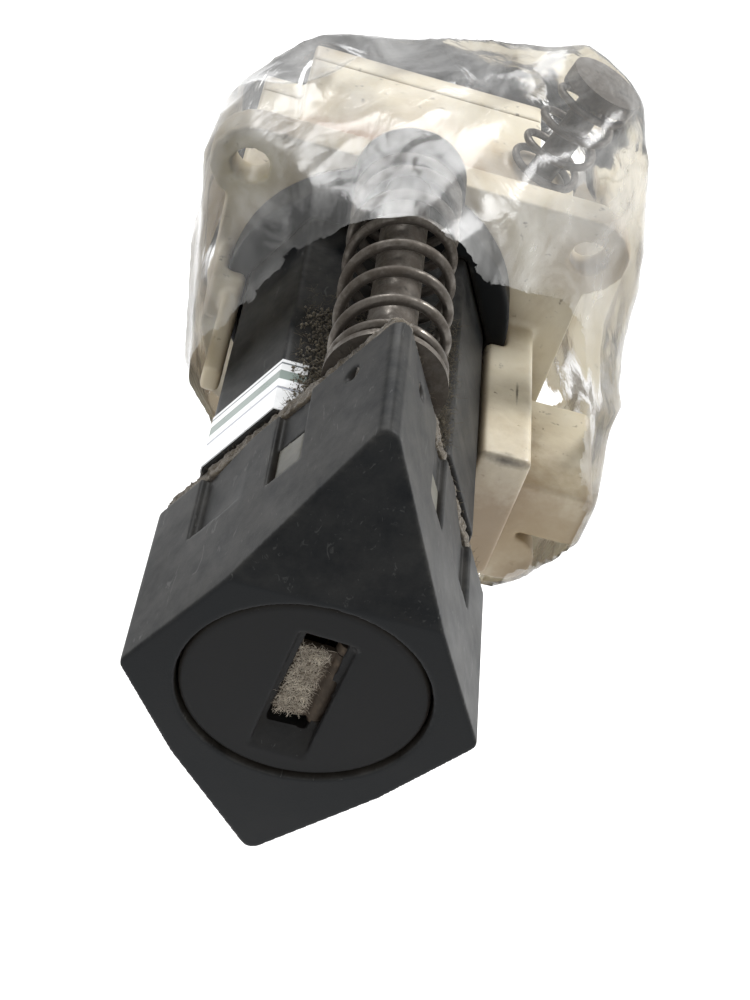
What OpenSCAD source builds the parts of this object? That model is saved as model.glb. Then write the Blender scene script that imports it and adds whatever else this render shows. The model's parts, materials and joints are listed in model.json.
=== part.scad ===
// Push-and-turn selector key switch.
// A kite-shaped black head carries the lock and slides in a cream frame on a return spring.
// Turning the key drives a rotor, whose pinion moves a contact carriage on a slanting rack.
// X is to the right seen from the front, Y runs back along the key axis, Z is up.
// Sizes called "station" are distances back from the front face of the head.

/* [Head] */
// Height of the kite's top corner above the key axis
apex_z = 24.4; // [22:0.1:27]
// Height of the kite's side corners, relative to the key axis
corner_z = -0.95; // [-2:0.05:1]
// Half width of the kite at its side corners
corner_x = 13.7; // [12.8:0.1:15]
// Depth of the kite's bottom corner below the key axis
foot_z = 20; // [18:0.1:23]
// Length of the head cap
cap_l = 16; // [15:0.1:18]
// Wall of the head cap
cap_wall = 1.8; // [1.4:0.1:2]
// How far the top corner is swept back from the front face
sweep = 3.8; // [2:0.1:5]
// Travel of the head when it is pushed
push_travel = 6; // [4:0.5:6]

/* [Lock] */
// Radius of the round face of the key plug
face_r = 9.35; // [9:0.05:9.4]
// Radius of the plug behind its face
plug_r = 6; // [5.9:0.05:6.1]
// Radial running clearance of everything that turns or slides
run_clear = 0.05; // [0.03:0.01:0.08]
// Width of the key slot
slot_w = 3.2; // [3:0.1:3.4]
// Height of the key slot
slot_h = 10.5; // [10:0.1:10.8]
// Tilt of the key slot at rest, clockwise from the front
slot_tilt = 4; // [0:0.5:6]
// Number of wafers in the plug
wafer_count = 8; // [4:1:8]

/* [Barrel] */
// Half width between the barrel's flat sides
barrel_x = 11.2; // [10.8:0.1:11.3]
// Height of the barrel's flat top above the key axis
barrel_top = 11.3; // [11:0.1:11.6]
// Station of the barrel's rear end
barrel_end = 51.5; // [50:0.5:51.5]

/* [Return spring] */
// Wire radius of the return spring
wire_r = 0.45; // [0.4:0.01:0.48]
// Mean radius of the return spring
coil_r = 4.3; // [4:0.05:4.4]
// Number of turns of the return spring
coil_turns = 8; // [6:1:9]

/* [Frame] */
// Station of the flange's front face
flange_at = 48.5; // [48.5:0.1:49]
// Thickness of the flange
flange_t = 3.5; // [3:0.1:3.5]
// Distance between the two ear holes
ear_dx = 32; // [32:0.1:33]
// Height of the ear holes above the key axis
ear_z = 12.6; // [12.4:0.1:12.8]
// Radius of the ear holes
ear_hole_r = 1.7; // [1.6:0.05:1.75]

/* [Switching] */
// Teeth on the rotor's pinion
pinion_teeth = 16; // [16:1:16]
// Module of the pinion and the rack
gear_module = 1; // [1:0.01:1]
// Pressure angle of the teeth
pressure_angle = 25; // [25:1:25]
// Lean of the contact carriage's travel away from upright
carriage_lean = 15; // [14:0.5:16]

/* [Hidden] */

$fn = 64;
eps = 0.01;

black = [0.13, 0.13, 0.14];
cream = [0.82, 0.78, 0.66];
steel = [0.55, 0.54, 0.52];
copper = [0.72, 0.45, 0.25];

// Head outline and roof.
roof_k = (apex_z - corner_z) / corner_x;
roof_angle = atan(roof_k);
cheek = [8.3, -9.6];
kite = [[0, apex_z], [corner_x, corner_z], cheek, [0, -foot_z], [-cheek[0], cheek[1]], [-corner_x, corner_z]];
sweep_from = 10;
cap_front = 3;
window_at = [10, 13.8];
window = [3.6, 4.2];
nub = [3.2, 3.6];
nub_sunk = 0.4;
channel_depth = 0.6;
panel_at = [12.6, 6.9];
panel = [6.2, 7.4];
panel_depth = 0.35;
panel_tilt = 6.4;
eye_slot = [1.7, 8.95];

// Lock, along its length.
face_from = 0.25;
face_gap = 0.2;
face_bevel = 0.3;
face_to = 2.8;
sleeve_r = 7.6;
sleeve_from = 3;
step_at = 4.4;
step_r = 8.8;
sleeve_to = 36;
neck_r = 4;
keyway_end = 31;
wafer_pitch = 2.7;
wafer_first = 8;
wafer_t = 0.7;
mouth = [-4.45, 6.05];
ramp_end = -7.2;
flap_low = -3.7;
flap_high = 5;
flap_t = 0.4;
flap_pin = [1.8, 2];
flap_pin_r = 0.4;
knuckle_r = 0.75;
tail_side = 4.6;

// Barrel and guide rod.
round_z = 2.85;
round_r = 12;
bore_r = sleeve_r + run_clear;
neck_from = 12;
gasket_t = 1.5;
rod_r = 2;
rod_at = [0.4, 16.2];
rod_end = 50.5;
eye_at = 13.4;
eye_z = 19.6;
pin_r = 0.6;
tang = [1.6, 6];
web = 3;
collar_from = 44.5;
collar_r = 13.3;
lug_to = 48;
lug_r = 5;
clip_room = 3.7;
washer_t = 0.6;
washer_from = cap_l + gasket_t;
coil_from = washer_from + washer_t;
label_end = 23.8;
finger = [[-11.1, -9.4], [-1.7, 1.7]];
finger_end = 57.9;

// Frame.
ear_mid = 2.4;
ears = [[-17.4, 22.2], [8.6, 16.6]];
plate = [[-15.4, 16.4], [19.2, 16.4], [19.2, -14.6], [-12, -14.6], [-14.8, -6]];
left_rail = [[-13.2, -11.5], [0.3, 2.9]];
left_root = [[-14.6, -11.5], [-0.9, 4.1]];
left_root_from = 43;
right_rail = [[11.5, 16.2], [-10.5, 3.7]];
box_to = 70;
chamber_from = 58;
cover_t = 3;
body_clear = 0.15;
screw_xz = [[-12.6, 6.4], [-12.6, -6.4], [16.6, 6.4], [16.6, -6.4]];
screw_r = 1;
screw_from = 61;
screw_head = [1.5, 1.4];
shroud = [10.8, 8.2];
shroud_wall = 1.15;
shroud_to = 80;

// Switching parts, across the key axis.
pitch_r = gear_module * pinion_teeth / 2;
addendum = 0.8 * gear_module;
dedendum = 1.0 * gear_module;
tooth_gap = 0.12;
gear_from = 58.6;
gear_to = 62.4;
tail_end = gear_to - 0.4 - push_travel;
rack_teeth = 4;
rack_low = -3.2;
rack_high = 9.5;
rack_back = 10.8;
wing_x = 3.8;
wing_to = 65;
wiper_z = 3;
wiper_x = [5.2, 9];
plunger_x = 9.6;
plunger_r = 1.4;
plunger_head = [3.6, 1.4];
boss_r = 3.6;
boss_from = 9;
boss_top = 16;
head_z = 26;
coil2_r = 3.2;
wire2_r = 0.38;
coil2_turns = 4.5;
plate_from = 67.5;
pad_t = 0.5;
slider = [3, 6];
slider_at = -10.9;
slider_from = 58.05;
slider_to = 60.55;
bridge_t = 0.35;
blade = [4.8, 0.8];
blade_xz = [for (x = [-7, 0, 7]) for (z = [-6.4, 6.4]) [x, z]];
blade_end = 78;

// ---- Shapes that repeat ----

// Moves a piece from the key axis and the front face to the middle of the ear holes.
module place() translate([-ear_mid, -flange_at, -ear_z]) children();

// Stands an outline across the key axis and runs it from one station to another.
module along(from, to) translate([0, to, 0]) rotate([90, 0, 0]) linear_extrude(to - from) children();

module rod(from, to, r, at = [0, 0]) translate([at[0], 0, at[1]]) along(from, to) circle(r = r);

// A rectangle from one corner to the opposite one.
module span(x, z) translate([x[0], z[0]]) square([x[1] - x[0], z[1] - z[0]]);

// A convex outline drawn in by a distance; its points run clockwise.
function unit(v) = v / norm(v);
function inward(a, b) = let (t = unit(b - a)) [t[1], -t[0]];
function before(p, i) = p[(i + len(p) - 1) % len(p)];
function after(p, i) = p[(i + 1) % len(p)];
function inset(p, d) = [for (i = [0:len(p) - 1])
    let (n = inward(before(p, i), p[i]), m = inward(p[i], after(p, i)))
    p[i] + (n + m) * d / (1 + n * m)];

// The same outline with an arc of radius r at each corner.
function rounded(p, r, steps = 4) = [for (i = [0:len(p) - 1])
    let (n = inward(before(p, i), p[i]), m = inward(p[i], after(p, i)),
         centre = p[i] + (n + m) * r / (1 + n * m))
    for (s = [0:steps]) centre - r * unit(n * (1 - s / steps) + m * s / steps)];

function box_points(x, z) = [[x[0], z[1]], [x[1], z[1]], [x[1], z[0]], [x[0], z[0]]];

// Puts a piece on a roof face of the head: side 1 is right and -1 left, and local Z points out.
module on_roof(side, station, z)
    translate([side * (apex_z - z) / roof_k, station, z]) rotate([0, side * roof_angle, 0]) children();

// Everything in front of the swept plane at the top of the head, moved back by a distance.
module swept_front(back = 0) rotate([90, 0, 90]) linear_extrude(2 * apex_z, center = true)
    polygon([[-5, sweep_from], [back, sweep_from], [back + 2 * sweep, 2 * apex_z - sweep_from],
        [-5, 2 * apex_z - sweep_from]]);

// The barrel's outline: flat top, slopes in line with the head's roof, flat sides, round below.
module barrel_section(grow = 0) intersection() {
    translate([0, round_z]) circle(r = round_r + grow, $fn = 96);
    polygon(inset([
        [-(apex_z - barrel_top) / roof_k, barrel_top], [(apex_z - barrel_top) / roof_k, barrel_top],
        [barrel_x, apex_z - roof_k * barrel_x], [barrel_x, -foot_z],
        [-barrel_x, -foot_z], [-barrel_x, apex_z - roof_k * barrel_x]], -grow));
}

module neck_section() intersection() {
    polygon(inset(kite, cap_wall + 0.5));
    span([-10.4, 10.4], [-11, barrel_top - 0.3]);
}

// The leaning frame that the carriage travels in: local Z is its direction of travel.
module lean() rotate([0, carriage_lean, 0]) children();

// A round-wire coil that stands on local Z.
function ring_at(p, out, r, sides) = [for (k = [0:sides - 1])
    p + r * cos(360 * k / sides) * out + r * sin(360 * k / sides) * [0, 0, 1]];
module coil(length, mean_r, wire, turns, steps = 24, sides = 8) {
    rings = round(turns * steps);
    dead = 0.9 / turns;
    rise = length - 2 * wire;
    points = [for (i = [0:rings])
        let (t = i / rings, a = 360 * turns * t,
             z = wire + rise * min(1, max(0, (t - dead) / (1 - 2 * dead))) * (1 - 4 * wire / rise)
                 + 2 * wire * (min(t, dead) + max(0, t - 1 + dead)) / dead,
             out = [cos(a), sin(a), 0])
        each ring_at(mean_r * out + [0, 0, z], out, wire, sides)];
    sides_of = [for (i = [0:rings - 1]) for (k = [0:sides - 1])
        let (a = i * sides + k, b = i * sides + (k + 1) % sides)
        each [[a, b, b + sides], [a, b + sides, a + sides]]];
    first = [[for (k = [sides - 1:-1:0]) k]];
    last = [[for (k = [0:sides - 1]) rings * sides + k]];
    polyhedron(points, concat(sides_of, first, last), convexity = 10);
}

// A flat ring with a slit, such as a retaining clip.
module clip(from, to, inner, outer, at = [0, 0]) difference() {
    rod(from, to, outer, at);
    rod(from - eps, to + eps, inner, at);
    translate([at[0] - inner * 0.8, from - 1, at[1] - 2 * outer]) cube([inner * 1.6, to - from + 2, 2 * outer]);
}

// Involute pinion outline with a tooth centred on +x.
function inv(a) = tan(a) * 180 / PI - a;
function flank(r, base, half) = half + inv(pressure_angle) - inv(acos(min(1, base / r)));
module pinion_outline() {
    base = pitch_r * cos(pressure_angle);
    low = pitch_r - dedendum;
    high = pitch_r + addendum;
    half = 90 / pinion_teeth - tooth_gap / pitch_r * 45 / PI;
    radii = [for (s = [0:4]) max(base, low) + (high - max(base, low)) * s / 4];
    polygon([for (i = [0:pinion_teeth - 1]) let (mid = 360 * i / pinion_teeth) each concat(
        [let (a = mid - flank(radii[0], base, half) - 0.6) low * [cos(a), sin(a)]],
        [for (r = radii) let (a = mid - flank(r, base, half)) r * [cos(a), sin(a)]],
        [for (s = [4:-1:0]) let (r = radii[s], a = mid + flank(r, base, half)) r * [cos(a), sin(a)]],
        [let (a = mid + flank(radii[0], base, half) + 0.6) low * [cos(a), sin(a)]])]);
}

// Rack outline: teeth towards -x, pitch line at the pinion's pitch radius, a gap centred on z = 0.
module rack_outline() {
    pitch = PI * gear_module;
    half = pitch / 4 - tooth_gap / 4;
    tip = half - addendum * tan(pressure_angle);
    root = half + dedendum * tan(pressure_angle);
    span([pitch_r + dedendum, rack_back], [rack_low, rack_high]);
    for (i = [0:rack_teeth - 1]) translate([pitch_r, (i - 0.5) * pitch])
        polygon([[-addendum, tip], [dedendum + eps, root + eps], [dedendum + eps, -root - eps], [-addendum, -tip]]);
}

// ---- The head: it slides along the key axis ----

module head_cap() place() color(black) difference() {
    along(0, cap_l) polygon(rounded(kite, 0.9));
    swept_front();
    difference() {
        along(cap_front, cap_l + 1) polygon(inset(kite, cap_wall));
        swept_front(cap_front);
    }
    rod(-1, cap_front + eps, face_r + face_gap);
    for (side = [1, -1]) {
        on_roof(side, window_at[0], window_at[1]) {
            cube([window[0], window[1], 6], center = true);
            translate([-window[0] / 2, 0, -channel_depth]) cube([window[0], cap_l, 2]);
        }
        on_roof(side, panel_at[0], panel_at[1]) translate([0, 0, -panel_depth]) rotate([0, side * panel_tilt, 0])
            translate([-panel[0] / 2, -panel[1] / 2, 0]) cube([panel[0], panel[1], 2]);
    }
    translate([-eye_slot[0] / 2, 11, 12]) cube([eye_slot[0], cap_l, eye_slot[1]]);
    pin_hole();
}

module pin_hole() translate([0, eye_at, eye_z]) rotate([0, 90, 0]) cylinder(h = 20, r = pin_r, center = true);

module lock_carrier() place() color(cream) difference() {
    union() {
        difference() {
            along(cap_front, neck_from) polygon(inset(kite, cap_wall + 0.05));
            swept_front(cap_front + 0.05);
        }
        for (side = [1, -1]) on_roof(side, window_at[0], window_at[1])
            translate([-nub[0] / 2, -nub[1] / 2, -cap_wall - nub_sunk]) cube([nub[0], nub[1], cap_wall]);
    }
    rod(cap_front - 1, neck_from + 1, sleeve_r);
    rod(cap_front - 1, step_at, step_r);
    translate([-0.9, 11, 10]) cube([1.8, cap_l, 12]);
}

module rear_gasket() place() color([0.32, 0.25, 0.18]) difference() {
    along(cap_l, cap_l + gasket_t) polygon(rounded(inset(kite, 0.4), 0.9));
    along(cap_l - 1, cap_l + gasket_t + 1) neck_section();
    rod(cap_l - 1, cap_l + gasket_t + 1, rod_r + run_clear, rod_at);
}

module cross_pin() place() color(steel) translate([0, eye_at, eye_z]) rotate([0, 90, 0])
    cylinder(h = 4.6, r = pin_r, center = true);

module guide_rod() place() color(steel) difference() {
    union() {
        rod(cap_l + 0.05, rod_end, rod_r, rod_at);
        translate([-tang[0] / 2, 11.2, rod_at[1] - web / 2]) {
            cube([tang[0], cap_l - 11.3, tang[1]]);
            cube([tang[0], cap_l - 10.8, web]);
        }
    }
    pin_hole();
    difference() {
        rod(lug_to + 0.05, lug_to + 0.75, rod_r + 1, rod_at);
        rod(lug_to, lug_to + 1, rod_r - 0.4, rod_at);
    }
}

module spring_washer() place() color(steel) difference() {
    rod(washer_from, washer_from + washer_t, 4.8, rod_at);
    rod(washer_from - 1, washer_from + 1, rod_r + run_clear, rod_at);
}

module rod_clip() place() color(steel) clip(lug_to + 0.05, lug_to + 0.75, rod_r - 0.4, 3.4, rod_at);

module barrel() place() color(black) difference() {
    union() {
        along(cap_l + gasket_t, barrel_end) barrel_section();
        along(neck_from, cap_l + gasket_t + eps) neck_section();
        along(barrel_end - 1, finger_end) span(finger[0], finger[1]);
    }
    rod(neck_from - 1, barrel_end + 1, bore_r);
}

module blank_label() place() color("white") intersection() {
    along(washer_from + 0.1, label_end) difference() {
        barrel_section(0.1);
        barrel_section();
    }
    translate([-20, 0, 3]) cube([15, 60, 20]);
}

// ---- The lock ----

module turned() rotate([0, slot_tilt, 0]) children();
function wafer_at(i) = wafer_first + i * wafer_pitch;

module lock_sleeve() place() color([0.6, 0.6, 0.58]) difference() {
    union() {
        rod(step_at, sleeve_to, sleeve_r);
        rod(sleeve_from, step_at, step_r);
    }
    rod(sleeve_from - 1, sleeve_to + 1, plug_r + run_clear);
    translate([-2.6, wafer_first - 1.5, -6.9]) cube([5.2, wafer_pitch * wafer_count + 0.5, 13.8]);
}

module key_plug() place() color([0.16, 0.16, 0.17]) turned() difference() {
    union() {
        translate([0, face_from + face_bevel, 0]) rotate([90, 0, 0])
            cylinder(h = face_bevel, r1 = face_r, r2 = face_r - face_bevel);
        rod(face_from + face_bevel - eps, face_to, face_r);
        rod(face_to - eps, sleeve_to + 0.1, plug_r);
        rod(sleeve_to, 38, neck_r);
    }
    translate([-slot_w / 2, -1, mouth[0]]) cube([slot_w, face_to + 1.2, mouth[1] - mouth[0]]);
    translate([-slot_w / 2, face_to - 1.5, -slot_h / 2]) cube([slot_w, keyway_end - face_to + 1.5, slot_h]);
    translate([0, face_from - 1, 0]) rotate([90, 0, 90]) linear_extrude(slot_w + 1.2, center = true)
        polygon([[0, ramp_end], [1, ramp_end], [2.2, mouth[0]], [1.35, mouth[1] + 0.2], [0, mouth[1] + 0.2]]);
    translate([0.9, 1.1, flap_low - 0.2]) cube([1.8, 4.4, flap_high - flap_low + 0.4]);
    translate([flap_pin[0], flap_pin[1], flap_low - 0.8]) cylinder(h = flap_high - flap_low + 1.6, r = flap_pin_r);
    for (i = [0:wafer_count - 1]) {
        translate([-2.35, wafer_at(i) - 0.4, -plug_r - 1]) cube([4.7, 0.8, 2 * plug_r + 2]);
        translate([2.2, wafer_at(i) - 0.4, -2]) cube([1.5, 0.8, 4]);
    }
}

module wafers() place() color([0.75, 0.62, 0.32]) turned() intersection() {
    rod(0, keyway_end, plug_r - 0.1);
    for (i = [0:wafer_count - 1]) translate([0, wafer_at(i), 0]) difference() {
        cube([4.6, wafer_t, 2 * plug_r], center = true);
        translate([0, 0, 0.5 * sin(137 * i)]) cube([slot_w + 0.1, 2, 6.6], center = true);
    }
}

module wafer_springs() place() color(steel) turned() for (i = [0:wafer_count - 1])
    translate([3, wafer_at(i), -1.7]) cylinder(h = 3.4, r = 0.35, $fn = 24);

module plug_clip() place() color(steel) clip(sleeve_to + 0.15, sleeve_to + 0.95, neck_r, 7);

module drive_tail() place() color(steel) {
    rod(38, 40, 5);
    along(40 - eps, tail_end) square(tail_side, center = true);
}

module shutter_pin() place() color(steel) turned()
    translate([flap_pin[0], flap_pin[1], flap_low - 0.7]) cylinder(h = flap_high - flap_low + 1.4, r = flap_pin_r);

module shutter_spring() place() color(steel) turned() translate([flap_pin[0], flap_pin[1], flap_high - 1])
    difference() {
        cylinder(h = 0.9, r = knuckle_r);
        translate([0, 0, -1]) cylinder(h = 3, r = flap_pin_r + 0.02);
    }

module slot_shutter() place() color([0.4, 0.3, 0.22]) turned() translate([flap_pin[0], flap_pin[1], flap_low])
    difference() {
        union() {
            cylinder(h = flap_high - flap_low - 1.1, r = knuckle_r);
            translate([-slot_w / 2 - flap_pin[0] + 0.1, -flap_t, 0])
                cube([slot_w / 2 + flap_pin[0] - 0.1, flap_t, flap_high - flap_low - 1.1]);
        }
        translate([0, 0, -1]) cylinder(h = 20, r = flap_pin_r + run_clear);
    }

// ---- The return spring and the collar that it rests on ----

module return_spring() place() color(steel) translate([rod_at[0], collar_from, rod_at[1]]) rotate([90, 0, 0])
    coil(collar_from - coil_from, coil_r, wire_r, coil_turns);

module guide_collar() place() color(black) difference() {
    union() {
        rod(collar_from, flange_at, collar_r, [0, round_z]);
        rod(collar_from, lug_to, lug_r, rod_at);
        along(collar_from, lug_to) span([rod_at[0] - lug_r, rod_at[0] + lug_r], [barrel_top, rod_at[1]]);
    }
    along(collar_from - 1, flange_at + 1) barrel_section(body_clear);
    rod(collar_from - 1, flange_at + 1, rod_r + run_clear, rod_at);
    rod(lug_to, flange_at + 1, clip_room, rod_at);
}

// ---- The fixed frame ----

module box_outline(less = 0) {
    span([-14.6 + less, 18.6 - less], [-8.8 + less, 8.8 - less]);
    span([-10.4 + less, 13.5 - less], [-14.4 + less, 13.6 - less]);
}

module chamber_outline(less = 0) {
    span([-12.6 + less, 0], [-3.5 + less, 3.5 - less]);
    span([-10 + less, 14.6 - less], [-7.6 + less, 7.6 - less]);
    span([-8.9 + less, 11.6 - less], [-13.2 + less, 12.2 - less]);
}

module rail(x, z, from) {
    along(from, flange_at + eps) polygon(rounded(box_points(x, z), 0.6));
}

// The plunger's axis, at a height in the leaning frame.
module on_plunger(z) lean() translate([plunger_x, (gear_from + gear_to) / 2, z]) children();

module frame() place() color(cream) difference() {
    union() {
        along(flange_at, flange_at + flange_t) {
            polygon(rounded(box_points(ears[0], ears[1]), 3.9));
            polygon(rounded(plate, 2));
        }
        along(flange_at + flange_t - eps, box_to) box_outline();
        rail(left_rail[0], left_rail[1], 31);
        rail(left_root[0], left_root[1], left_root_from);
        rail(right_rail[0], right_rail[1], 28.5);
        on_plunger(boss_from) cylinder(h = boss_top - boss_from, r = boss_r);
    }
    along(flange_at - 1, chamber_from + 1) barrel_section(body_clear);
    along(chamber_from, box_to + 1) chamber_outline();
    rod(collar_from - 0.1, flange_at, collar_r + 0.05, [0, round_z]);
    rod(flange_at - 1, chamber_from - 0.2, clip_room, rod_at);
    along(flange_at - 1, flange_at + flange_t + 1)
        span([rod_at[0] - clip_room, rod_at[0] + clip_room], [rod_at[1], 20]);
    for (x = [-1, 1]) rod(flange_at - 1, flange_at + flange_t + 1, ear_hole_r, [ear_mid + x * ear_dx / 2, ear_z]);
    for (p = screw_xz) rod(screw_from - 1, box_to + 1, screw_r, p);
    on_plunger(0) cylinder(h = 40, r = plunger_r + run_clear);
    on_plunger(boss_top) cylinder(h = 6, r = boss_r + 0.4);
}

module side_clip() place() color(cream) {
    along(33, 46) polygon(rounded(box_points([16.2, 24.3], [-8.5, -2.6]), 0.8));
    along(33, 35.6) {
        span([16.2, 18.6], [-14.8, -8]);
        translate([18.5, -12]) circle(r = 2.8);
    }
}

// ---- The switching parts ----

module rotor() place() color(black) difference() {
    union() {
        rod(46.6, gear_from + eps, 5);
        lean() along(gear_from, gear_to) pinion_outline();
        rod(gear_to - eps, box_to - 0.2, 3);
    }
    along(46, gear_to - 0.2) square(tail_side + 2 * run_clear, center = true);
}

module rack_carriage() place() color([0.2, 0.22, 0.25]) lean() {
    along(gear_from, gear_to + eps) rack_outline();
    along(gear_to, wing_to) span([wing_x, rack_back], [rack_low, rack_high]);
}

module carriage_plunger() place() color(steel) {
    on_plunger(rack_high) cylinder(h = head_z - rack_high + eps, r = plunger_r);
    on_plunger(head_z) cylinder(h = plunger_head[1], r = plunger_head[0]);
}

module carriage_spring() place() color(steel) on_plunger(boss_top)
    coil(head_z - boss_top, coil2_r, wire2_r, coil2_turns);

module moving_contacts() place() color(copper) lean() {
    along(wing_to, wing_to + 0.6) span([wing_x + 0.4, rack_back - 0.6], [wiper_z - 0.9, wiper_z + 0.9]);
    for (x = wiper_x) rod(wing_to + 0.5, plate_from - pad_t - 0.05, 0.8, [x, wiper_z]);
}

module contact_plate() place() color([0.24, 0.2, 0.16]) difference() {
    along(plate_from, box_to) chamber_outline(0.05);
    rod(plate_from - 1, box_to + 1, 3 + run_clear);
    for (p = blade_xz) translate([p[0], 0, p[1]]) along(plate_from - 1, box_to + 1)
        square([blade[0] + 0.1, blade[1] + 0.1], center = true);
    rod(plate_from - 1, box_to - 0.7, 1.6, [slider_at, 0]);
}

module fixed_contacts() place() color(copper) lean() along(plate_from - pad_t, plate_from) {
    span([wiper_x[0] - 1, wiper_x[0] + 1], [-4.6, 4.4]);
    for (z = [[-4.6, -1.8], [1.6, 4.4]]) span([wiper_x[1] - 1, wiper_x[1] + 1], z);
}

module terminals() place() color(copper) for (p = blade_xz) translate([p[0], 0, p[1]])
    along(plate_from + 0.1, blade_end) square(blade, center = true);

module push_slider() place() color([0.2, 0.22, 0.25]) along(slider_from, slider_to)
    translate([slider_at, 0]) square(slider, center = true);

module push_bridge() place() color(copper) difference() {
    along(slider_to, slider_to + bridge_t) translate([slider_at, 0]) square(slider - [0.4, 0.2], center = true);
    along(slider_to - 1, slider_to + 1) translate([slider_at, 0]) square([slider[0] - 0.6, 2.6], center = true);
}

module push_spring() place() color(steel) translate([slider_at, box_to - 0.7, 0]) rotate([90, 0, 0])
    coil(box_to - 0.7 - slider_to, 1, 0.15, 7, 16, 6);

module push_contacts() place() color(copper) for (z = [-2.4, 2.4])
    along(plate_from - 0.45, plate_from) translate([slider_at, z]) square([2.4, 1], center = true);

module rear_cover() place() color(cream) difference() {
    along(box_to, box_to + cover_t) box_outline();
    for (p = blade_xz) translate([p[0], 0, p[1]]) along(box_to - 1, box_to + cover_t + 1)
        square([blade[0] + 0.1, blade[1] + 0.1], center = true);
    for (p = screw_xz) rod(box_to - 1, box_to + cover_t + 1, screw_r + 0.1, p);
}

module connector_shroud() place() color(black) difference() {
    union() {
        along(box_to + cover_t, shroud_to)
            polygon(rounded(box_points([-shroud[0], shroud[0]], [-shroud[1], shroud[1]]), 1.6));
        along(shroud_to - 4, shroud_to - 1.5) span([-3, 3], [shroud[1] - 0.5, shroud[1] + 1]);
    }
    along(box_to + cover_t + shroud_wall, shroud_to + 1) polygon(inset(
        box_points([-shroud[0], shroud[0]], [-shroud[1], shroud[1]]), shroud_wall));
    for (p = blade_xz) translate([p[0], 0, p[1]]) along(box_to, box_to + cover_t + 3)
        square([blade[0] + 0.1, blade[1] + 0.1], center = true);
}

module cover_screws() place() color(steel) for (p = screw_xz) difference() {
    union() {
        rod(screw_from, box_to + cover_t + eps, screw_r, p);
        rod(box_to + cover_t, box_to + cover_t + screw_head[1], screw_head[0], p);
    }
    for (a = [0, 90]) translate([p[0], box_to + cover_t + screw_head[1], p[1]]) rotate([0, a, 0])
        cube([2, 1.4, 0.5], center = true);
}

head_cap();
lock_carrier();
rear_gasket();
cross_pin();
guide_rod();
spring_washer();
rod_clip();
barrel();
blank_label();
lock_sleeve();
key_plug();
wafers();
wafer_springs();
plug_clip();
drive_tail();
shutter_pin();
shutter_spring();
slot_shutter();
return_spring();
guide_collar();
frame();
side_clip();
rotor();
rack_carriage();
carriage_plunger();
carriage_spring();
moving_contacts();
contact_plate();
fixed_contacts();
terminals();
push_slider();
push_bridge();
push_spring();
push_contacts();
rear_cover();
connector_shroud();
cover_screws();
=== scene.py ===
"""The selector key switch: materials, soft-edged shells, coil springs, label, dirt, film bag and the studio.

Lengths are in metres in the row frame. at() turns a place on the key axis, in millimetres, into it:
x to the right, the station back from the head's front face, and the height above the key axis.
"""

import json
import math
import random

import bmesh
import bpy
from mathutils import Matrix, Vector, noise


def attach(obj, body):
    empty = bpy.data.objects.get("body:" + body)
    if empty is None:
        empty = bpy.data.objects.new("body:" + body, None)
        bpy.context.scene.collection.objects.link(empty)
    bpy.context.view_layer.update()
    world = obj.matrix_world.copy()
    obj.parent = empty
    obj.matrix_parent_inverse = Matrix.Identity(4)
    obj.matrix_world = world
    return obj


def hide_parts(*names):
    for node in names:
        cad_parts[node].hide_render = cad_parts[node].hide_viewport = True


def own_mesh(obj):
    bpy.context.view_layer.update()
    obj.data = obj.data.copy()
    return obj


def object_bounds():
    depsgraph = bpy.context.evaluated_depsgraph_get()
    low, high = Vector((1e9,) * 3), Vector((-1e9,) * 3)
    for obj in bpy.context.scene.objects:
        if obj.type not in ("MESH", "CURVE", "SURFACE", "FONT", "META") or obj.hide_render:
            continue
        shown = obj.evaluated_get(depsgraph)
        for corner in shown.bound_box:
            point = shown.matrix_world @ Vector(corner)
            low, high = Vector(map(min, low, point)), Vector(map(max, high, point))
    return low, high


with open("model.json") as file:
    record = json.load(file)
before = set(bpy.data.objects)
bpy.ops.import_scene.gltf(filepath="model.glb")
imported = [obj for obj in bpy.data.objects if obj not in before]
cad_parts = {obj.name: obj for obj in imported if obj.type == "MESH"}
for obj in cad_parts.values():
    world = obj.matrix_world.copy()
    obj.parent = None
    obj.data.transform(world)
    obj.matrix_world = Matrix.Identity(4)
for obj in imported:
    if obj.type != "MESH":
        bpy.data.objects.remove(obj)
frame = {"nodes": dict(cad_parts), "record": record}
cad_low, cad_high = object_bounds()

MM = 0.001
NODES = frame["nodes"]


def at(x, station, z):
    return Vector((x - 2.4, station - 48.5, z - 12.6)) * MM


# ---- Materials ----

# A Mix node's sockets for its two colours and its resulting colour.
MIX_A, MIX_B, MIX_RESULT = 6, 7, 2


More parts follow.
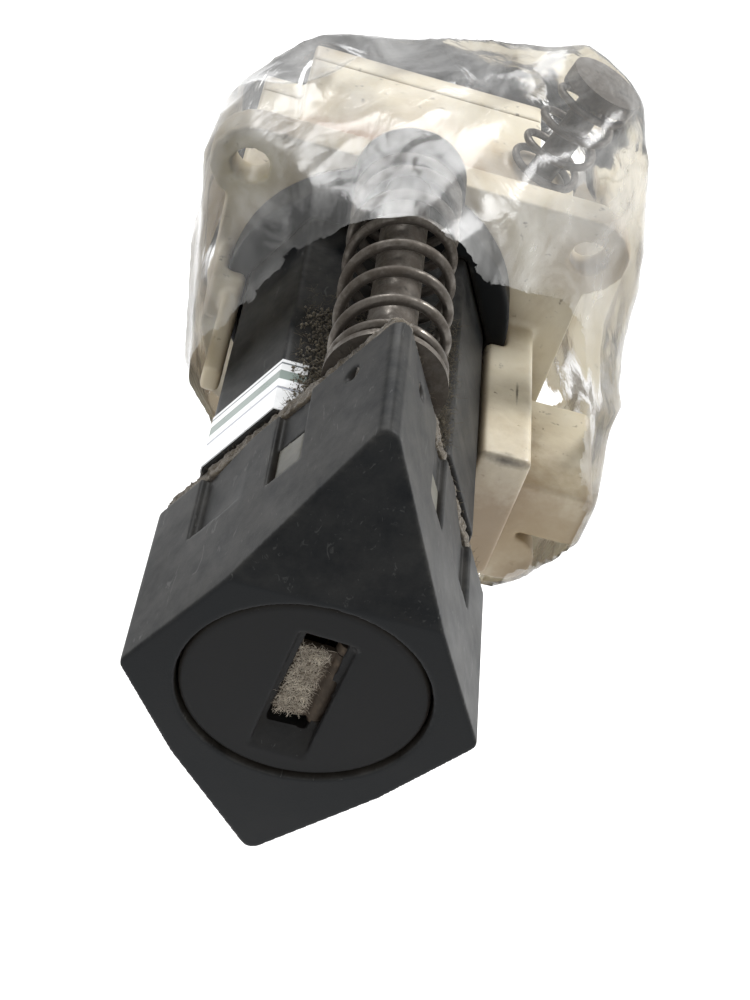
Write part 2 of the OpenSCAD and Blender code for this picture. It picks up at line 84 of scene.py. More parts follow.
class Shader:
    """A node material that is put together one node at a time."""

    def __init__(self, name):
        self.material = bpy.data.materials.new(name)
        self.material.use_nodes = True
        self.tree = self.material.node_tree
        self.tree.nodes.clear()
        self.out = self.node("ShaderNodeOutputMaterial")
        self.body = self.node("ShaderNodeBsdfPrincipled")
        self.link(self.body, "BSDF", self.out, "Surface")
        self.where = self.node("ShaderNodeTexCoord")

    def node(self, kind, **values):
        made = self.tree.nodes.new(kind)
        for key, value in values.items():
            if hasattr(made, key):
                setattr(made, key, value)
            else:
                made.inputs[key.replace("_", " ")].default_value = value
        return made

    def link(self, a, out, b, into):
        self.tree.links.new(a.outputs[out], b.inputs[into])

    def noise(self, scale, detail=4, rough=0.6, distort=0.0, stretch=None):
        """Noise of a number of features per metre, in the object's own coordinates."""
        made = self.node("ShaderNodeTexNoise")
        made.inputs["Scale"].default_value = scale
        made.inputs["Detail"].default_value = detail
        made.inputs["Roughness"].default_value = rough
        made.inputs["Distortion"].default_value = distort
        if stretch is None:
            self.link(self.where, "Object", made, "Vector")
        else:
            mapping = self.node("ShaderNodeMapping")
            mapping.inputs["Scale"].default_value = stretch
            self.link(self.where, "Object", mapping, "Vector")
            self.link(mapping, "Vector", made, "Vector")
        return made, "Fac"

    def ramp(self, source, low, high, dark=0.0, light=1.0):
        """Spreads a value from low to high over dark to light."""
        made = self.node("ShaderNodeMapRange")
        made.inputs["From Min"].default_value = low
        made.inputs["From Max"].default_value = high
        made.inputs["To Min"].default_value = dark
        made.inputs["To Max"].default_value = light
        self.link(*source, made, "Value")
        return made, "Result"

    def times(self, a, b):
        made = self.node("ShaderNodeMath", operation="MULTIPLY", use_clamp=True)
        self.link(*a, made, 0)
        if isinstance(b, (int, float)):
            made.inputs[1].default_value = b
        else:
            self.link(*b, made, 1)
        return made, "Value"

    def mix(self, share, a, b):
        """Colour a turning into colour b; each is a colour or another node's output."""
        made = self.node("ShaderNodeMix", data_type="RGBA")
        self.link(*share, made, 0)
        for value, socket in ((a, MIX_A), (b, MIX_B)):
            if isinstance(value[0], (int, float)):
                made.inputs[socket].default_value = (*value, 1)
            else:
                self.link(*value, made, socket)
        return made, MIX_RESULT

    def colour(self, source):
        self.link(*source, self.body, "Base Color")

    def rough(self, source):
        self.link(*source, self.body, "Roughness")

    def bump(self, source, height, strength=1.0, below=None):
        made = self.node("ShaderNodeBump")
        made.inputs["Strength"].default_value = strength
        made.inputs["Distance"].default_value = height
        self.link(*source, made, "Height")
        if below is not None:
            self.link(below, "Normal", made, "Normal")
        self.link(made, "Normal", self.body, "Normal")
        return made

    def edges(self, low=0.52, high=0.62):
        """1 on sharp outer edges and 0 elsewhere, on a dense mesh."""
        geometry = self.node("ShaderNodeNewGeometry")
        return self.ramp((geometry, "Pointiness"), low, high)

    def upward(self, low=0.2, high=0.95):
        """1 on what faces up, where dust settles and where painted top light goes."""
        geometry = self.node("ShaderNodeNewGeometry")
        split = self.node("ShaderNodeSeparateXYZ")
        self.link(geometry, "Normal", split, "Vector")
        return self.ramp((split, "Z"), low, high)

    def near(self, point, inner, outer, scale=(1, 1, 1), ragged=0.0):
        """1 within inner millimetres of a place and 0 beyond outer; scale stretches the distances."""
        shift = self.node("ShaderNodeVectorMath", operation="SUBTRACT")
        self.link(self.where, "Object", shift, 0)
        shift.inputs[1].default_value = at(*point)
        size = self.node("ShaderNodeVectorMath", operation="MULTIPLY")
        self.link(shift, 0, size, 0)
        size.inputs[1].default_value = scale
        length = self.node("ShaderNodeVectorMath", operation="LENGTH")
        self.link(size, 0, length, 0)
        total = self.node("ShaderNodeMath", operation="MULTIPLY_ADD")
        self.link(*self.noise(600, 4, 0.65), total, 0)
        total.inputs[1].default_value = ragged * MM
        self.link(length, "Value", total, 2)
        middle = ragged / 2
        return self.ramp((total, "Value"), (inner + middle) * MM, (outer + middle) * MM, 1.0, 0.0)

    def corners(self, distance, low=0.35, high=0.9):
        """1 where other surfaces are close: where grime gathers, and where shade is painted in."""
        made = self.node("ShaderNodeAmbientOcclusion", samples=6)
        made.inputs["Distance"].default_value = distance
        return self.ramp((made, "AO"), low, high, 1.0, 0.0)


def black_plastic(name, base=(0.0030, 0.0038, 0.0046), dust_and_top_light=0.3, gloss=0.42):
    """Satin moulded plastic with a fine spark grain, rubbed edges, hairline scratches, and dust mixed with
    painted top light on what faces up.
    """
    s = Shader(name)
    grain = s.noise(9000, 2, 0.5)
    blotch = s.noise(160, 5, 0.62)
    scratch = s.noise(900, 2, 0.5, 0.6, stretch=(1.0, 0.06, 0.25))
    worn = s.times(s.edges(), s.ramp(s.noise(420, 4, 0.7), 0.4, 0.6))
    dust_and_top_light_mask = s.times(s.upward(0.1, 0.55), s.ramp(s.noise(330, 6, 0.7), 0.34, 0.66))
    scuffs = s.times(s.upward(0.1, 0.4), s.ramp(s.noise(1500, 3, 0.6, 1.5, (1, 0.25, 0.7)), 0.64, 0.7))
    body = s.mix(s.ramp(blotch, 0.35, 0.7), base, tuple(c * 1.6 for c in base))
    # Pale grey on what faces up: dust, and painted top light that makes the roofs lighter than the front.
    body = s.mix(s.times(dust_and_top_light_mask, dust_and_top_light), body, (0.105, 0.10, 0.09))
    body = s.mix(s.times(scuffs, 0.25), body, (0.15, 0.15, 0.145))
    body = s.mix(s.times(worn, 0.5), body, (0.06, 0.06, 0.06))
    body = s.mix(s.times(s.corners(1.2 * MM), 0.45), body, (0.035, 0.028, 0.02))
    s.colour(body)
    s.rough(s.ramp(blotch, 0.3, 0.75, gloss, gloss + 0.14))
    s.body.inputs["Specular IOR Level"].default_value = 0.13
    s.bump(scratch, 0.012 * MM, 0.5, s.bump(grain, 0.012 * MM, 0.55))
    return s.material


def cream_plastic(name, base=(0.56, 0.50, 0.37), fresh=(0.66, 0.61, 0.49), dirt_and_shade=0.6):
    """Aged nylon: yellowed in patches, brown in its corners from grime and painted shade, peppered with dark
    specks.
    """
    s = Shader(name)
    patch = s.ramp(s.noise(110, 5, 0.6), 0.38, 0.66)
    stain = s.ramp(s.noise(75, 6, 0.68, 0.5), 0.5, 0.68)
    speck = s.times(s.ramp(s.noise(900, 3, 0.55), 0.64, 0.7), s.ramp(s.noise(140, 3), 0.4, 0.6))
    body = s.mix(patch, base, fresh)
    body = s.mix(s.times(stain, 0.6 * dirt_and_shade), body, (0.30, 0.20, 0.10))
    # Brown where other surfaces are close: grime, and painted shade in corners and recesses.
    body = s.mix(s.times(s.corners(3 * MM, 0.3, 0.85), dirt_and_shade), body, (0.20, 0.135, 0.07))
    body = s.mix(s.times(speck, 0.8), body, (0.07, 0.05, 0.03))
    return s, body


def aged_cream(name, **look):
    """The frame's plastic: painted brown shade low on the front faces, rust on top, olive ears, a crack in
    the right rail.
    """
    s, body = cream_plastic(name, **look)
    stains_and_painted_shade = [
        # The first, third and fourth entries paint brown shade on the front faces of the right rail and the
        # side clip.
        ((14, 28.5, -6), 3, 10, (0.8, 0.6, 0.8), 5, 0.8, (0.19, 0.12, 0.06)),
        ((16.2, 40, -2), 0.5, 3, (1, 0.2, 0.7), 3, 0.6, (0.20, 0.135, 0.07)),
        ((17.5, 33, -10), 2, 8, (0.8, 0.8, 0.8), 3, 0.6, (0.24, 0.17, 0.085)),
        ((22, 33, -7), 1, 6, (0.7, 1, 1), 3, 0.6, (0.26, 0.19, 0.10)),
        ((-2, 55.5, 13.6), 1, 5.5, (0.5, 1.1, 0.5), 4, 0.95, (0.30, 0.10, 0.018)),
        ((4, 57, 13.6), 1, 8, (0.45, 0.8, 0.5), 4, 0.55, (0.28, 0.16, 0.06)),
        ((-13.6, 48.5, 12.6), 1.5, 5.5, (1, 1, 1), 2, 0.75, (0.33, 0.27, 0.12)),
        ((18.4, 48.5, 12.6), 1.5, 5.5, (1, 1, 1), 2, 0.8, (0.30, 0.21, 0.10)),
        ((14.6, 37.6, 3.7), 0.02, 0.16, (1, 0.09, 1), 0.25, 0.95, (0.03, 0.02, 0.012)),
        ((14.0, 28.6, 3.2), 0.1, 0.75, (0.3, 1, 1), 0.7, 0.9, (0.035, 0.025, 0.015)),
        ((-12.4, 31, 1.5), 0.5, 4, (1, 0.5, 1), 2, 0.5, (0.30, 0.23, 0.13)),
    ]
    for place, inner, outer, scale, ragged, share, tint in stains_and_painted_shade:
        body = s.mix(s.times(s.near(place, inner, outer, scale, ragged), share), body, tint)
    return finish_cream(s, body)


def finish_cream(s, body):
    s.colour(body)
    s.rough(s.ramp(s.noise(300, 4), 0.3, 0.7, 0.34, 0.55))
    s.body.inputs["Subsurface Weight"].default_value = 0.12
    s.body.inputs["Subsurface Radius"].default_value = (0.0018, 0.0013, 0.0007)
    s.bump(s.noise(2600, 3, 0.6), 0.02 * MM, 0.5, s.bump(s.noise(350, 3, 0.5), 0.12 * MM, 0.5))
    return s.material


def dirty_steel(name, base=(0.11, 0.10, 0.088), rust=0.85, gloss=0.3):
    """Drawn steel with bright rubbed spots between brown grime."""
    s = Shader(name)
    grime = s.ramp(s.noise(700, 6, 0.7), 0.36, 0.58)
    tint = s.ramp(s.noise(240, 4, 0.6), 0.35, 0.7)
    body = s.mix(tint, base, tuple(c * 1.5 for c in base))
    body = s.mix(s.times(grime, rust), body, (0.045, 0.034, 0.024))
    s.colour(body)
    s.link(*s.ramp(grime, 0, 1, 0.95, 0.95 - 0.6 * rust), s.body, "Metallic")
    s.rough(s.ramp(grime, 0, 1, gloss, gloss + 0.35))
    s.bump(s.noise(1800, 4, 0.7), 0.03 * MM, 0.6)
    return s.material


def bright_metal(name, base, gloss=0.3, tarnish=(0.12, 0.07, 0.04)):
    """Plain metal with soft tarnish patches and fine rub marks."""
    s = Shader(name)
    patch = s.ramp(s.noise(500, 5, 0.65), 0.45, 0.75)
    s.colour(s.mix(s.times(patch, 0.55), base, tarnish))
    s.body.inputs["Metallic"].default_value = 0.95
    s.rough(s.ramp(s.noise(1500, 3), 0.3, 0.7, gloss, gloss + 0.2))
    s.bump(s.noise(2500, 2, 0.5, 0, (1, 0.1, 1)), 0.01 * MM, 0.5)
    return s.material


def felt_material(name, base=(0.085, 0.068, 0.045)):
    """Matted fibres, dark between their tufts."""
    s = Shader(name)
    tuft = s.noise(2400, 6, 0.8)
    s.colour(s.mix(s.ramp(tuft, 0.35, 0.7), tuple(c * 0.45 for c in base), tuple(c * 1.9 for c in base)))
    s.body.inputs["Roughness"].default_value = 0.95
    s.body.inputs["Sheen Weight"].default_value = 0.3
    s.bump(tuft, 0.2 * MM, 0.9)
    return s.material


def fibre_material(name, dark, light):
    """Loose hairs in two shades."""
    s = Shader(name)
    s.colour(s.mix(s.ramp(s.noise(900, 3, 0.7), 0.35, 0.65), dark, light))
    s.body.inputs["Roughness"].default_value = 0.85
    s.bump(s.noise(6000, 2, 0.5), 0.01 * MM, 0.4)
    return s.material


def phenolic_material(name):
    """Brown laminated board with its weave just showing."""
    s = Shader(name)
    weave = s.noise(1400, 4, 0.6, 0, (1, 0.2, 1))
    s.colour(s.mix(s.ramp(weave, 0.4, 0.65), (0.10, 0.055, 0.03), (0.19, 0.11, 0.06)))
    s.body.inputs["Roughness"].default_value = 0.5
    s.bump(weave, 0.02 * MM, 0.5)
    return s.material


def film_material(name):
    """Clear film gone milky: streaks of haze, fine creases, and a sharp shine."""
    s = Shader(name)
    haze = s.ramp(s.noise(95, 6, 0.68, 1.2, (1, 0.5, 1)), 0.4, 0.72, 0.06, 0.34)
    crease = s.noise(260, 4, 0.6, 1.6, (1, 0.5, 1))
    s.body.inputs["Base Color"].default_value = (0.88, 0.88, 0.86, 1)
    s.rough(s.ramp(crease, 0.3, 0.7, 0.25, 0.45))
    normal = s.bump(crease, 0.2 * MM, 0.5)
    clear = s.node("ShaderNodeBsdfTransparent")
    milky = s.node("ShaderNodeMixShader")
    s.link(*haze, milky, 0)
    s.link(clear, 0, milky, 1)
    s.link(s.body, 0, milky, 2)
    shine = s.node("ShaderNodeBsdfAnisotropic", Roughness=0.16)
    s.link(normal, "Normal", shine, "Normal")
    fresnel = s.node("ShaderNodeFresnel", IOR=1.28)
    s.link(normal, "Normal", fresnel, "Normal")
    both = s.node("ShaderNodeMixShader")
    s.link(fresnel, 0, both, 0)
    s.link(milky, 0, both, 1)
    s.link(shine, 0, both, 2)
    s.link(both, 0, s.out, "Surface")
    return s.material


def label_material(name):
    """Glossy white sticker with a plain grey-green band and two rule lines, and dirt at its edges."""
    s = Shader(name)
    split = s.node("ShaderNodeSeparateXYZ")
    s.link(s.where, "Object", split, "Vector")
    along_y = (split, "Y")

    def stripe(start, end):
        y = [at(0, station, 0).y for station in (start, start + 0.05, end, end + 0.05)]
        return s.times(s.ramp(along_y, y[0], y[1]), s.ramp(along_y, y[2], y[3], 1, 0))

    band, lines, edge = stripe(21.3, 22.4), stripe(20.1, 20.35), stripe(23.2, 23.4)
    body = s.mix(s.ramp(s.noise(200, 4), 0.4, 0.7), (0.86, 0.87, 0.88), (0.76, 0.77, 0.78))
    body = s.mix(s.times(band, 0.85), body, (0.10, 0.16, 0.13))
    body = s.mix(s.times(lines, 0.8), body, (0.22, 0.24, 0.30))
    body = s.mix(s.times(edge, 0.9), body, (0.05, 0.07, 0.08))
    body = s.mix(s.times(s.ramp(s.noise(700, 5, 0.75), 0.6, 0.75), 0.6), body, (0.25, 0.2, 0.14))
    s.colour(body)
    s.rough(s.ramp(s.noise(500, 3), 0.3, 0.7, 0.16, 0.3))
    s.bump(s.noise(300, 3), 0.03 * MM, 0.4)
    return s.material


BLACK = black_plastic("black_plastic")
BLACK_FACE = black_plastic("black_face", base=(0.0058, 0.0060, 0.0064), dust_and_top_light=0.12, gloss=0.52)
BLACK_INNER = black_plastic("black_inner", base=(0.018, 0.019, 0.021), dust_and_top_light=0.3, gloss=0.5)
CREAM = aged_cream("cream_plastic")
CREAM_DIRTY = finish_cream(*cream_plastic(
    "cream_dirty", base=(0.028, 0.027, 0.018), fresh=(0.065, 0.062, 0.040), dirt_and_shade=0.3))
STEEL = dirty_steel("steel")
STEEL_CLEAN = dirty_steel("steel_plain", base=(0.42, 0.41, 0.39), rust=0.2)
ZINC = bright_metal("zinc", (0.40, 0.40, 0.39), 0.42, (0.2, 0.2, 0.19))
BRASS = bright_metal("brass", (0.70, 0.50, 0.20))
COPPER = bright_metal("copper", (0.75, 0.42, 0.25), 0.26)
SHUTTER = dirty_steel("shutter_steel", base=(0.06, 0.045, 0.032), rust=0.8, gloss=0.5)
FELT = felt_material("felt")
LABEL = label_material("label")
PHENOLIC = phenolic_material("phenolic")
FLUFF = fibre_material("fluff", (0.045, 0.036, 0.024), (0.14, 0.115, 0.075))
LINT = fibre_material("lint", (0.34, 0.29, 0.23), (0.72, 0.65, 0.54))
CRUMBS = felt_material("crumbs", base=(0.12, 0.10, 0.065))
FILM = film_material("film")

NODE_MATERIALS = {
    "head_cap": BLACK, "barrel": BLACK, "guide_collar": BLACK, "key_plug": BLACK_FACE,
    "lock_carrier": CREAM_DIRTY, "frame": CREAM, "side_clip": CREAM, "rear_cover": CREAM,
    "rear_gasket": FELT, "cross_pin": STEEL, "guide_rod": STEEL, "spring_washer": STEEL, "rod_clip": STEEL,
    "blank_label": LABEL, "lock_sleeve": ZINC, "wafers": BRASS, "wafer_springs": STEEL_CLEAN,
    "plug_clip": STEEL_CLEAN, "drive_tail": STEEL_CLEAN, "shutter_pin": SHUTTER,
    "shutter_spring": SHUTTER, "slot_shutter": SHUTTER, "return_spring": STEEL,
    "carriage_spring": STEEL, "push_spring": STEEL_CLEAN, "rotor": BLACK_INNER,
    "rack_carriage": BLACK_INNER, "carriage_plunger": STEEL, "moving_contacts": COPPER,
    "contact_plate": PHENOLIC, "fixed_contacts": COPPER, "terminals": COPPER,
    "push_slider": BLACK_INNER, "push_bridge": COPPER, "push_contacts": COPPER,
    "connector_shroud": BLACK_INNER, "cover_screws": STEEL_CLEAN,
}
BODIES = frame["record"]["behaviour"]["bodies"]
BODY_OF = {node: body for body, nodes in BODIES.items() for node in nodes}


def paint(obj, material):
    obj.data.materials.clear()
    obj.data.materials.append(material)


def piece(name, mesh, material, body):
    """Makes a new piece of a mesh, and lets it ride on a body."""
    obj = bpy.data.objects.new(name, mesh)
    bpy.context.scene.collection.objects.link(obj)
    paint(obj, material)
    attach(obj, body)
    return obj


for node, material in NODE_MATERIALS.items():
    paint(NODES[node], material)


# ---- Moulded shells: the CAD solids with soft edges ----

def evaluated(obj):
    """The object's mesh with its modifiers applied."""
    bpy.context.view_layer.update()
    depsgraph = bpy.context.evaluated_depsgraph_get()
    return bpy.data.meshes.new_from_object(obj.evaluated_get(depsgraph))


def softened(mesh, voxel, passes):
    """A closed mesh made again of small even faces, with its edges rounded by passes of smoothing."""
    work = bpy.data.objects.new("work", mesh)
    bpy.context.scene.collection.objects.link(work)
    remesh = work.modifiers.new("remesh", "REMESH")
    remesh.mode = "VOXEL"
    remesh.voxel_size = voxel
    remesh.use_smooth_shade = True
    smooth = work.modifiers.new("smooth", "SMOOTH")
    smooth.factor = 0.5
    smooth.iterations = passes
    soft = evaluated(work)
    bpy.data.objects.remove(work)
    return soft


def moulded(node, voxel, passes=4):
    """A copy of a CAD node with its edges rounded as a moulding's are. It stands for the node."""
    mesh = NODES[node].data.copy()
    weld = bmesh.new()
    weld.from_mesh(mesh)
    bmesh.ops.remove_doubles(weld, verts=weld.verts, dist=0.001 * MM)
    weld.to_mesh(mesh)
    weld.free()
    soft = softened(mesh, voxel, passes)
    made = piece(node + "_shell", soft, NODE_MATERIALS[node], BODY_OF[node])
    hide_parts(node)
    return made


# The nodes that get a shell, each with the width of the shell's faces.
SHELLS = {
    "head_cap": 0.17 * MM, "key_plug": 0.16 * MM, "barrel": 0.24 * MM, "guide_collar": 0.24 * MM,
    "lock_carrier": 0.24 * MM, "frame": 0.28 * MM, "side_clip": 0.24 * MM, "rear_cover": 0.28 * MM,
    "connector_shroud": 0.28 * MM,
}
for shell_node, voxel in SHELLS.items():
    moulded(shell_node, voxel)


# ---- Coil springs ----

def tube(name, path, radius, sides=12):
    """A mesh tube along a list of (centre, side vector, up vector)."""
    made = bmesh.new()
    rings = []
    for centre, side, up in path:
        rings.append([made.verts.new(centre + radius * (math.cos(a) * side + math.sin(a) * up))
                      for a in (math.tau * k / sides for k in range(sides))])
    for one, two in zip(rings, rings[1:]):
        for k in range(sides):
            made.faces.new((one[k], one[(k + 1) % sides], two[(k + 1) % sides], two[k]))
    made.faces.new(rings[0][::-1])
    made.faces.new(rings[-1])
    bmesh.ops.recalc_face_normals(made, faces=made.faces)
    mesh = bpy.data.meshes.new(name)
    made.to_mesh(mesh)
    made.free()
    for face in mesh.polygons:
        face.use_smooth = True
    return mesh


def coil(node, base, axis, across, length, mean, wire, turns, steps=48):
    """A round-wire spring with closed ends."""
    axis = Vector(axis).normalized()
    across = Vector(across).normalized()
    third = axis.cross(across)
    dead = 0.9 / turns
    path = []
    for i in range(int(turns * steps) + 1):
        t = i / (turns * steps)
        free = min(1, max(0, (t - dead) / (1 - 2 * dead)))
        closed = (min(t, dead) + max(0, t - 1 + dead)) / dead
        height = wire + (length - 6 * wire) * free + 2 * wire * closed
        a = math.tau * turns * t
        out = math.cos(a) * across + math.sin(a) * third
        path.append((base + MM * (mean * out + height * axis), out, axis))
    mesh = tube(node + "_wire", path, wire * MM)
    made = piece(node + "_wire", mesh, NODE_MATERIALS[node], "housing")
    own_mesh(made)
    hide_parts(node)


LEAN = math.radians(15)
LEAN_UP = Vector((math.sin(LEAN), 0, math.cos(LEAN)))
LEAN_ACROSS = Vector((math.cos(LEAN), 0, -math.sin(LEAN)))
boss = LEAN_ACROSS * 9.6 + LEAN_UP * 16
coil("return_spring", at(0.4, 44.5, 16.2), (0, -1, 0), (1, 0, 0),
     length=26.4, mean=4.3, wire=0.45, turns=8)
coil("carriage_spring", at(boss.x, 60.5, boss.z), LEAN_UP, LEAN_ACROSS,
     length=10, mean=3.2, wire=0.38, turns=4.5)
coil("push_spring", at(-10.9, 69.3, 0), (0, -1, 0), (1, 0, 0),
     length=8.75, mean=1, wire=0.15, turns=7)


# ---- Felt, fluff, lint and crumbs ----

def smooth_mesh(name, points, faces):
    mesh = bpy.data.meshes.new(name)
    mesh.from_pydata(points, [], faces)
    mesh.polygons.foreach_set("use_smooth", [True] * len(mesh.polygons))
    mesh.update()
    return mesh


def strands(name, roots, material, body):
    """Thin curly hairs in one mesh. Each root is (place, direction, length, radius, curl)."""
    points, faces = [], []
    for place, direction, length, radius, curl in roots:
        way, spot = Vector(direction).normalized(), Vector(place)
        for step in range(6):
            if step:
                faces += [(len(points) - 3 + k, len(points) - 3 + (k + 1) % 3, len(points) + (k + 1) % 3,
                           len(points) + k) for k in range(3)]
            side = way.orthogonal().normalized()
            up = way.cross(side)
            thin = radius * (1 - 0.12 * step)
            points += [spot + thin * (math.cos(a) * side + math.sin(a) * up) for a in (0, 2.1, 4.2)]
            spot = spot + way * length / 5
            way = (way + curl * Vector([dice.uniform(-1, 1) for _ in range(3)])).normalized()
    return piece(name, smooth_mesh(name, points, faces), material, body)


def crumbs(name, places, material, body):
    """Irregular specks of dirt in one mesh. Each place is (centre, size)."""
    ball = bmesh.new()
    bmesh.ops.create_icosphere(ball, subdivisions=2, radius=1)
    shape = [vert.co.copy() for vert in ball.verts]
    sides = [tuple(vert.index for vert in face.verts) for face in ball.faces]
    ball.free()
    points, faces = [], []
    for centre, size in places:
        seed = Vector([dice.uniform(0, 50) for _ in range(3)])
        squat = Vector([dice.uniform(0.5, 1.4) for _ in range(3)])
        faces += [tuple(len(points) + i for i in side) for side in sides]
        points += [centre + size * (1 + 0.7 * noise.noise(co * 1.6 + seed)) * co * squat for co in shape]
    return piece(name, smooth_mesh(name, points, faces), material, body)


dice = random.Random(7)


def felt_ring():
    """The gasket behind the head: a ragged felt with fibres standing off its outside."""
    ring = moulded("rear_gasket", 0.16 * MM, 2)
    for vert in ring.data.vertices:
        vert.co += vert.normal * 0.22 * MM * noise.fractal(vert.co * 1400, 1.0, 2.0, 4)
    faces = list(ring.data.polygons)
    roots = []
    for _ in range(1700):
        face = dice.choice(faces)
        lift = face.normal + 0.8 * Vector([dice.uniform(-1, 1) for _ in range(3)])
        roots.append((face.center, lift, dice.uniform(0.3, 0.9) * MM, dice.uniform(0.012, 0.022) * MM, 0.5))
    strands("felt_fibres", roots, FLUFF, "head")


TILT = math.radians(4)


def slot_lint():
    """Pale lint caught on the left of the slot's shutter, which leans with the slot."""
    roots = []
    for _ in range(1500):
        x, z = dice.uniform(-1.45, 0.65), dice.uniform(-3.5, 3.9)
        across, up = x * math.cos(TILT) + z * math.sin(TILT), z * math.cos(TILT) - x * math.sin(TILT)
        place = at(across, dice.uniform(1.2, 1.6), up)
        way = (dice.uniform(-1, 1), dice.uniform(-0.5, 0.15), dice.uniform(-1, 1))
        roots.append((place, way, dice.uniform(0.4, 0.9) * MM, dice.uniform(0.012, 0.03) * MM, 0.55))
    strands("slot_lint", roots, LINT, "shutter")


def barrel_dirt():
    """Crumbly olive dirt on the barrel's top beside and inside the spring, and brown fluff to its right."""
    places = []
    for _ in range(3600):
        station = 17.7 + 14 * dice.random() ** 1.6
        x = dice.gauss(-3.4, 1.3) if dice.random() < 0.55 else dice.uniform(-5.5, 6.3)
        heap = 1.1 if station < 21 else 0.45
        places.append((at(min(6.4, max(-6.2, x)), station, 11.25 + heap * dice.random()),
                       (0.04 + 0.09 * dice.random() ** 2) * MM))
    crumbs("barrel_dirt", places, CRUMBS, "head")
    roots = []
    for _ in range(2600):
        station = 17.8 + 16 * dice.random() ** 1.4
        right = dice.random() < 0.55
        x = dice.gauss(5.6, 0.6) if right else dice.gauss(-2.2, 2.4)
        way = (dice.uniform(-1, 1), dice.uniform(-1, 1), dice.uniform(-0.1, 0.8))
        place = at(min(6.6, max(-6, x)), station, 11.4 + dice.uniform(0, 1.2 if right else 0.5))
        roots.append((place, way, dice.uniform(0.5, 1.4) * MM, dice.uniform(0.012, 0.025) * MM, 0.6))
    strands("barrel_fluff", roots, FLUFF, "head")


# ---- The film bag ----

UNDER_FILM = ["frame", "side_clip", "guide_collar", "rear_cover", "connector_shroud", "barrel", "guide_rod",
              "carriage_plunger"]


def front_edge(spot):
    """Where the bag ends at the front, as a distance in metres along the key axis."""
    shoulder = max(0, 1 - math.hypot(spot.x - at(14, 0, 0).x, spot.z - at(0, 0, 9).z) / (11 * MM))
    wave = noise.noise(Vector((spot.x, 0, spot.z)) * 140)
    wave += 0.5 * noise.noise(Vector((spot.x, 3, spot.z)) * 420)
    return at(0, 32.4, 0).y + (11 * shoulder + 1.1 * wave) * MM


def wrap_film():
    """The clear bag round the rear half, creased and open at the front. It follows the pieces under it."""
    start = at(0, 31, 0).y
    hull = bmesh.new()
    for node in UNDER_FILM:
        for vert in NODES[node].data.vertices:
            hull.verts.new((vert.co.x, max(start, vert.co.y), vert.co.z))
    seat = at(0.4, 0, 16.2)
    for a in (math.tau * k / 24 for k in range(24)):
        hull.verts.new((seat.x + 4.8 * MM * math.cos(a), start, seat.z + 4.8 * MM * math.sin(a)))
    bmesh.ops.convex_hull(hull, input=hull.verts)
    bmesh.ops.delete(hull, geom=[vert for vert in hull.verts if not vert.link_faces], context="VERTS")
    mesh = bpy.data.meshes.new("film_hull")
    hull.to_mesh(mesh)
    hull.free()
    mesh = softened(mesh, 0.6 * MM, 10)
    film = bmesh.new()
    film.from_mesh(mesh)
    film.normal_update()
    for vert in film.verts:
        x, y, z = vert.co
        broad = 1 - abs(noise.noise(Vector((x, y * 0.6, z)) * 75 + Vector((3, 1, 7)))) * 2.2
        fine = 1 - abs(noise.noise(Vector((x, y * 0.5, z)) * 330 + Vector((9, 4, 2)))) * 2.4
        vert.co += vert.normal * (0.45 + 0.8 * max(0, broad) ** 3 + 0.12 * max(0, fine) ** 2) * MM
    middles = {face: face.calc_center_median() for face in film.faces}
    in_front = [face for face, middle in middles.items() if middle.y < front_edge(middle)]
    bmesh.ops.delete(film, geom=in_front, context="FACES")
    for vert in film.verts:
        if vert.is_boundary:
            vert.co.y = front_edge(vert.co)
    film.to_mesh(mesh)
    film.free()
    bag = piece("wrap_film", mesh, FILM, "housing")


felt_ring()
slot_lint()
barrel_dirt()
wrap_film()


# ---- Camera, floor and light ----

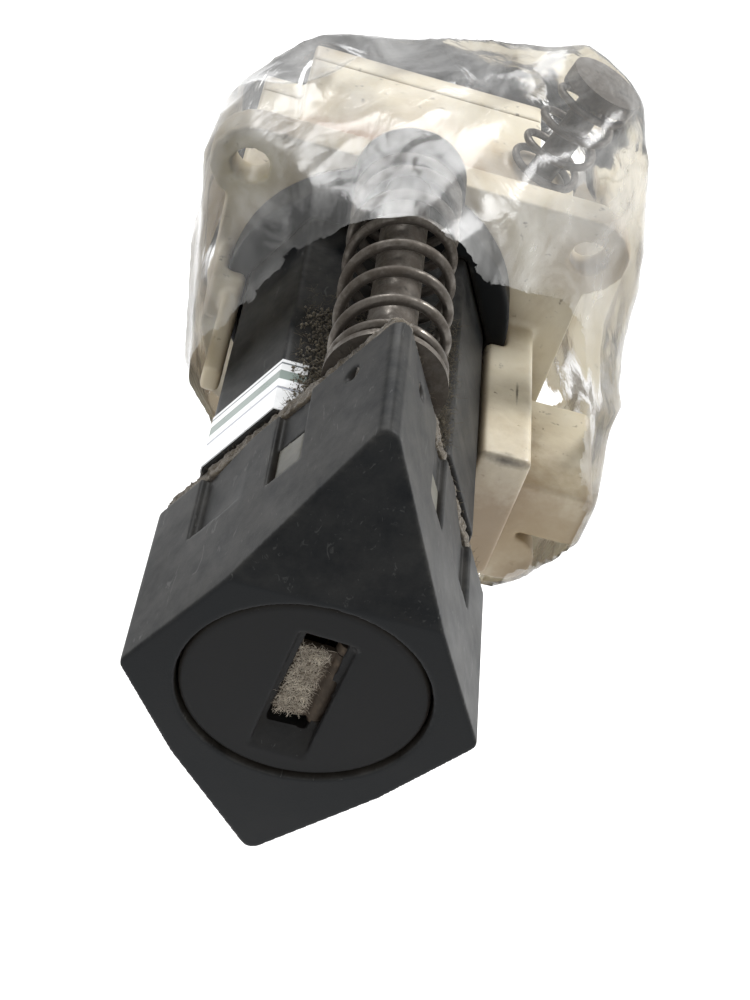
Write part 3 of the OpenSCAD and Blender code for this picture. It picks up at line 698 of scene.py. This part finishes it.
def studio():
    """The photo's view: the eye is above and in front of the head, and leans to one side."""
    camera = bpy.data.objects.new("camera", bpy.data.cameras.new("camera"))
    bpy.context.scene.collection.objects.link(camera)
    bpy.context.scene.camera = camera
    heading, dip, roll = math.radians(8.55), math.radians(41.19), math.radians(19.9)
    look = Vector((math.sin(heading) * math.cos(dip), math.cos(heading) * math.cos(dip), -math.sin(dip)))
    camera.rotation_mode = "QUATERNION"
    lean = Matrix.Rotation(roll, 4, "Z").to_quaternion()
    camera.rotation_quaternion = look.to_track_quat("-Z", "Y") @ lean
    camera.location = at(-11.46, -76.52, 88.12)
    camera.data.lens = 57.2
    camera.data.sensor_width = 36
    camera.data.clip_start = 5 * MM
    camera.data.clip_end = 10


def floor():
    """Plain pale paper, well below the object so that it casts no shadow in the photo's view."""
    half = 3.0
    mesh = bpy.data.meshes.new("floor")
    level = cad_low.z - 45 * MM
    corners = [(-half, -half, level), (half, -half, level), (half, half, level), (-half, half, level)]
    mesh.from_pydata(corners, [], [(0, 1, 2, 3)])
    obj = bpy.data.objects.new("floor", mesh)
    bpy.context.scene.collection.objects.link(obj)
    s = Shader("floor_paper")
    s.colour(s.mix(s.ramp(s.noise(3, 3), 0.3, 0.7), (0.93, 0.93, 0.93), (0.96, 0.96, 0.96)))
    s.body.inputs["Roughness"].default_value = 0.9
    paint(obj, s.material)


def area_light(name, place, size, power):
    """A square soft light that shines at the middle of the object."""
    light = bpy.data.lights.new(name, "AREA")
    light.shape = "RECTANGLE"
    light.size, light.size_y = size
    light.energy = power
    obj = bpy.data.objects.new(name, light)
    bpy.context.scene.collection.objects.link(obj)
    obj.location = place
    obj.rotation_mode = "QUATERNION"
    obj.rotation_quaternion = (-Vector(place)).to_track_quat("-Z", "Y")


def lights():
    """An even white surround, a soft key from the upper right, and a weaker light from behind."""
    world = bpy.data.worlds.new("studio")
    bpy.context.scene.world = world
    world.use_nodes = True
    world.node_tree.nodes["Background"].inputs["Color"].default_value = (1, 1, 1, 1)
    world.node_tree.nodes["Background"].inputs["Strength"].default_value = 0.85
    area_light("key", (0.42, 0.28, 0.50), (0.25, 0.25), 5)
    area_light("rim", (-0.15, 0.45, 0.35), (0.2, 0.2), 1.6)
    bpy.context.scene.view_settings.view_transform = "Standard"


studio()
floor()
lights()
